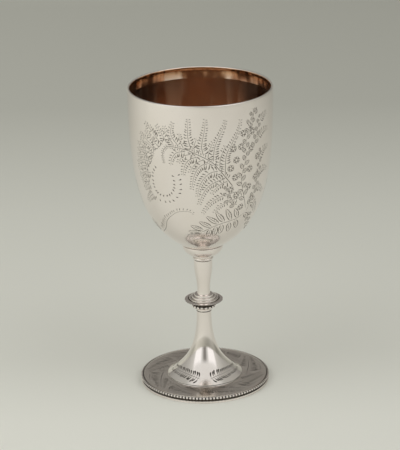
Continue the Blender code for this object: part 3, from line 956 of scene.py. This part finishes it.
def beadedWire(name, count, circle, bead, height, back, stations=12, sides=16, pinch=0.96):
    # wire rolled between dies into round beads, flat at the back, and bent to a ring; pinch is how nearly
    # the wire closes between two beads
    spots = np.arange(count * stations)
    turns = spots * tau / len(spots)
    apart = np.abs(2 * (spots % stations) / stations - 1)  # 0 in mid bead, 1 between two
    swell = bead * np.sqrt(1 - (pinch * apart) ** 2)
    angles = np.arange(sides) * tau / sides
    points, faces, slots = [], [], []
    for turn, size in zip(turns, swell):
        for a in angles:
            radius = max(circle + size * cos(a), back)
            points.append((radius * sin(turn), -radius * cos(turn), height + size * sin(a)))
    for i in range(len(turns)):
        n = (i + 1) % len(turns)
        for k in range(sides):
            m = (k + 1) % sides
            faces.append((i * sides + k, n * sides + k, n * sides + m, i * sides + m))
            slots.append(int(apart[i] + apart[n] > 1.3))  # painted shade, with tarnish, between the beads
    finishes = [polishedSilver(name + "Silver"), tarnishAndPaintedShade(name + "Gaps")]
    return makeObject(name, points, faces, slots, None, finishes, sharpDegrees=60)


def makeKnopBeads():
    at, look = place("knop_bead_ring"), knopLook
    middle = at.base + at.height / 2 - look.beadDrop
    circle = at.radius - look.bead + look.beadOut
    ring = beadedWire("knopBeads", look.beads, circle, look.bead, middle, look.spigot + 0.05 * mm)
    stands(ring, "knop_bead_ring")


makeBowl()
print("bowl made")
makeCollar()
makeNeckRing()
makeUpperStem()
makeKnop()
makeKnopBeads()
makeKnopCollar()
makeLowerStem()
print("stem made")


# Foot

footLook = inMetres({
    "beads": 120,
    "bandWidthMm": 1.4,
    "bandWallMm": 0.9,
    "bandEdgeMm": 0.25,
    "hollowMm": 0.8,  # how far the band is hollowed under the beads
    "plateHoleMm": 18.8,
    "engravedFromMm": 22.6,  # radii between which the plate is engraved
    "engravedToMm": 35.4,
    "sprigs": 8,
    "fronds": [  # of one sprig: degrees and radius of its knots, and size
        ([(-24, 24.6), (-12, 26), (2, 28.6), (12, 31.4), (19, 34)], 1.6),
        ([(-20, 32.6), (-12, 33.4), (-4, 34)], 0.9),
        ([(8, 24.4), (14, 25.2), (19, 27)], 0.9),
    ],
    "rounds": 256,
    "meshMm": 1.4,
})


def makeFootBeads():
    at = place("foot_bead_ring")
    bead = at.height / 2
    circle = at.radius - bead
    back = circle - footLook.bandWidth / 4
    ring = beadedWire("footBeads", footLook.beads, circle, bead, at.base + bead, back, stations=10)
    stands(ring, "foot_bead_ring")


def makeFootBand():
    # drawn ring: a rounded foot below a hollow, and an inner wall that carries the plate
    at, look = place("foot_band"), footLook
    ledge, edge = place("foot_bead_ring").base, look.bandEdge
    wall = at.radius - look.bandWidth
    inside, hollow = wall - look.bandWall, at.radius - look.hollow
    profile = [(inside, at.top), (wall, at.top), (wall, ledge), (hollow + 0.2 * mm, ledge)]
    profile += bend((hollow + 0.2 * mm, ledge - 0.1 * mm), (hollow, ledge - 0.3 * mm), (hollow, 1.35 * mm),
                    (at.radius - edge, 1.1 * mm), 8)
    # the hollow under the beads is painted dark: painted shade, with tarnish
    dark = range(2, len(profile) - 2)
    profile += arc((at.radius - edge, edge), edge, 80, -80, 10) + [(at.radius - 2 * edge, 0), (inside, 0)]
    turnedPiece("foot_band", "footBand", profile, look.rounds, dark)


def makeFootPlate():
    # the flat of the foot, with fronds engraved all round it
    at, look = place("foot_plate"), footLook
    hole, edge = look.plateHole, at.height / 3
    side = surface([(r, at.top) for r in np.linspace(look.engravedFrom, look.engravedTo, 40)], 0)
    for n in range(look.sprigs):
        turn = (n + 0.5) * 360 / look.sprigs
        for knots, size in look.fronds:
            frond(side, placed(side, knots, turn), size, slim=0.6, apart=0.62)
    decorated = engraved(side, look.rounds, look.mesh)
    rest = [tuple(side.line[-1]), (at.radius - edge, at.top), (at.radius - edge * 0.3, at.top - edge * 0.3),
            (at.radius, at.top - edge), (at.radius, at.base), (hole, at.base), (hole, at.top)]
    rest = spun(rest + [tuple(side.line[0])], look.rounds)
    silver = polishedSilver("footPlateSilver", 0.18, "#F7F1EA")  # less rubbed than the rest
    finishes = [silver, darkenedCut("footEngraving", "#4F4B45", "#2F2C28")]
    stands(makeObject("footPlate", *joined([decorated, rest]), finishes), "foot_plate")


makeFootBeads()
makeFootBand()
makeFootPlate()
print("foot made")

for name in ("bowl_boss", "tie_rod", "washer", "nut"):  # hidden in the stem
    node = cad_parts[name]
    node.data.materials.clear()
    node.data.materials.append(polishedSilver(name.replace("_", "") + "Silver", 0.35, "#CFC9BE"))


# Floor, lamps and camera

floorLook = inMetres({
    # painted light fall-off: the tone of the paper from front to back, in mm behind the object
    "tones": [(-400, "#EEEEE7"), (-60, "#E9E9E1"), (40, "#E2E2DA"), (150, "#DFDFD7"), (300, "#D6D6CE"),
              (560, "#BFBFB7"), (900, "#BBBBB3"), (1500, "#D6D6CE")],
    "rightShade": 0.2,  # how much darker it gets per metre to the right
    "grainMm": 1.2,
    "speckle": 0.015,  # how much the grain changes the tone
    "flat": 1.6,  # radius in metres of the part that lies flat
    "cove": 0.55,  # radius of the curve up at its edge
})


def studioPaper():
    # Seamless background paper, matt. To the eye: no gloss at all, and a slow fall of tone towards the back
    # and to the right, which is painted light fall-off and painted shade.
    look = floorLook
    made, add, shader, where = newFinish("studioPaper")
    parts = add("SeparateXYZ", vector=where)
    nearest, furthest = look.tones[0][0], look.tones[-1][0]
    back = add("MapRange", value=parts.outputs["Y"], fromMin=nearest * mm, fromMax=furthest * mm)
    ramp = add("ValToRGB", fac=back)
    setTones(ramp, [((away - nearest) / (furthest - nearest), colour) for away, colour in look.tones])
    shade = add("MapRange", value=parts.outputs["X"], fromMin=-1.0, toMin=1 + look.rightShade,
                toMax=1 - look.rightShade)
    grain = add("TexNoise", vector=where, scale=1 / look.grain, detail=2.0)
    speckle = add("MapRange", value=grain, toMin=1 - look.speckle, toMax=1 + look.speckle)
    both = add("Math", multiply, in0=shade, in1=speckle)
    tone = add("VectorMath", {"operation": "SCALE"}, in0=ramp, scale=both)
    fill(shader, baseColor=tone, roughness=0.95, specularIorLevel=0.0)
    return made


def makeFloor():
    # a round floor with a coved edge, so that it closes the view from every side
    flat, cove = floorLook.flat, floorLook.cove
    line = [(share * flat, 0) for share in (0, 0.0625, 0.125, 0.25, 0.5, 0.75, 1)]
    line += arc((flat, cove), cove, -90, 0, 16)[1:]
    makeObject("floor", *spun(line[::-1], 96), [studioPaper()])


lampLook = inMetres({
    "turns": {"leftBox": -62, "rightBox": 62},  # degrees from the front towards the right
    "rise": 52,  # degrees above the floor
    "away": 1.4,
    "side": 1.0,
    "watts": 3,
    "aimHeight": 0.09,
})


def makeLamps():
    look, rise = lampLook, radians(lampLook.rise)
    for name, degrees in look.turns.items():
        turn = radians(degrees)
        direction = Vector((sin(turn) * cos(rise), -cos(turn) * cos(rise), sin(rise)))
        lamp = bpy.data.lights.new(name, "AREA")
        lamp.size, lamp.energy = look.side, look.watts
        holder = newObject(name, lamp)
        holder.location = Vector((0, 0, look.aimHeight)) + look.away * direction
        holder.rotation_euler = direction.to_track_quat("Z", "Y").to_euler()
        holder.visible_glossy = False  # the tent's cloth hides the lamps


worldLook = inMetres({
    # a white tent, open at the back over the paper, with a grey gap at the front where the camera looks in;
    # tones round the object, from 0 at the back to 1 at the front
    "around": [(0.0, "#827F7A"), (0.05, "#827F7A"), (0.13, "#A0A09A"), (0.35, "#B0B0AA"), (0.6, "#C8C8C2"),
               (0.66, "#FFFFFD"), (0.93, "#FFFFFD"), (0.96, "#D2D2CE"), (0.985, "#BEBEBA"),
               (0.996, "#84827D")],
    "roof": "#DEDEDA",
    "roofAtBack": (0.86, 0.96),  # heights on a ball round the object between which the roof begins
    "roofAtFront": (0.6, 0.8),
})


def makeWorld():
    look = worldLook
    world = bpy.context.scene.world = bpy.data.worlds.new("studioTent")
    world.use_nodes = True
    add = partial(addNode, world.node_tree)
    soft = {"interpolation_type": "SMOOTHSTEP"}
    direction = add("TexCoord").outputs["Generated"]
    height = add("SeparateXYZ", vector=direction).outputs["Z"]
    flat = add("VectorMath", multiply, in0=direction, in1=(1, 1, 0))
    level = add("VectorMath", {"operation": "NORMALIZE"}, in0=flat)
    depth = add("SeparateXYZ", vector=level).outputs["Y"]
    front = add("MapRange", value=depth, fromMin=1.0, fromMax=-1.0)
    walls = add("ValToRGB", fac=front)
    setTones(walls, look.around)
    roofs = [add("MapRange", soft, value=height, fromMin=low, fromMax=high)
             for low, high in (look.roofAtBack, look.roofAtFront)]
    ahead = add("MapRange", soft, value=depth, fromMin=0.0, fromMax=-0.5)
    roof = add("Mix", factor=ahead, in2=roofs[0], in3=roofs[1])
    tent = add("Mix", colourMix, factor=roof, in6=walls, in7=look.roof)
    fill(world.node_tree.nodes["Background"], color=tent)


cameraLook = inMetres({
    "away": 1.1912,  # metres, as all but the lens
    "height": 0.5267,
    "aimHeight": 0.0962,
    "lens": 197.0,  # mm, on a sensor of 36
    "leanDegrees": -1.016,
    "shiftX": -0.0062,
    "seesTo": 20,
})


def makeCamera():
    camera = bpy.data.cameras.new("camera")
    camera.sensor_fit = "HORIZONTAL"
    camera.lens, camera.shift_x, camera.clip_end = cameraLook.lens, cameraLook.shiftX, cameraLook.seesTo
    holder = newObject("camera", camera)
    spot = Vector((0, -cameraLook.away, cameraLook.height))
    look = Vector((0, 0, cameraLook.aimHeight)) - spot
    lean = Matrix.Rotation(radians(cameraLook.leanDegrees), 3, "Z")
    turn = look.to_track_quat("-Z", "Y").to_matrix() @ lean
    holder.matrix_world = Matrix.Translation(spot) @ turn.to_4x4()
    bpy.context.scene.camera = holder


makeFloor()
makeLamps()
makeWorld()
makeCamera()
bpy.context.scene.view_settings.view_transform = "Standard"
print("floor, lamps and camera made")
